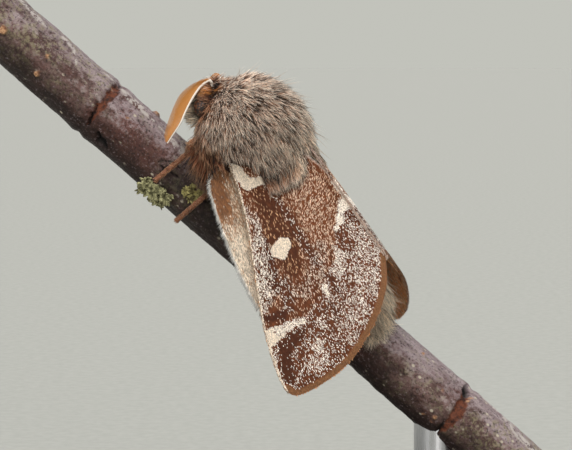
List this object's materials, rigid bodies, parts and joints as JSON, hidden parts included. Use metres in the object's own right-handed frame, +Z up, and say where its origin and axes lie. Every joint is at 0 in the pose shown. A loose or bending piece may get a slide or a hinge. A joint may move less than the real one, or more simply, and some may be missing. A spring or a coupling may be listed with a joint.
{
  "type": "moth",
  "caption": "Life-size small eggar moth at rest with its wings held like a roof, gripping a short cut twig on a plain display stand.",
  "frame": {"origin": "middle of the stand base's underside", "axes": "+Z up; X along the base's long side, the moth's head being at the -X, upper end of the twig; -Y is the side the picture was taken from"},
  "size_m": [0.046, 0.034, 0.0428],
  "materials": {
    "fur": "soft grey-brown fur with pale tips",
    "belly_fur": "soft buff fur",
    "eye": "dark, glossy, finely faceted",
    "feeler": "orange-tan side branches on a white shaft",
    "forewing": "chocolate scales flecked with white",
    "hindwing": "brown to cream scales with a white fringe",
    "leg": "hairy orange-brown",
    "bark": "grey-purple young bark",
    "lichen": "dry grey-green lobes",
    "stand": "satin black",
    "rod": "brushed"
  },
  "bodies": {
    "root": {"head": "fur", "thorax": "fur", "abdomen": "belly_fur", "eye_left": "eye", "eye_right": "eye", "antenna_left": "feeler", "antenna_right": "feeler", "forewing_left": "forewing", "forewing_right": "forewing", "hindwing_left": "hindwing", "hindwing_right": "hindwing", "leg_fore_left": "leg", "leg_fore_right": "leg", "leg_mid_left": "leg", "leg_mid_right": "leg", "leg_hind_left": "leg", "leg_hind_right": "leg", "perch_twig": "bark", "lichen_pale": "lichen", "lichen_green": "lichen", "stand_base": "stand", "stand_rod": "rod"}
  },
  "joints": []
}
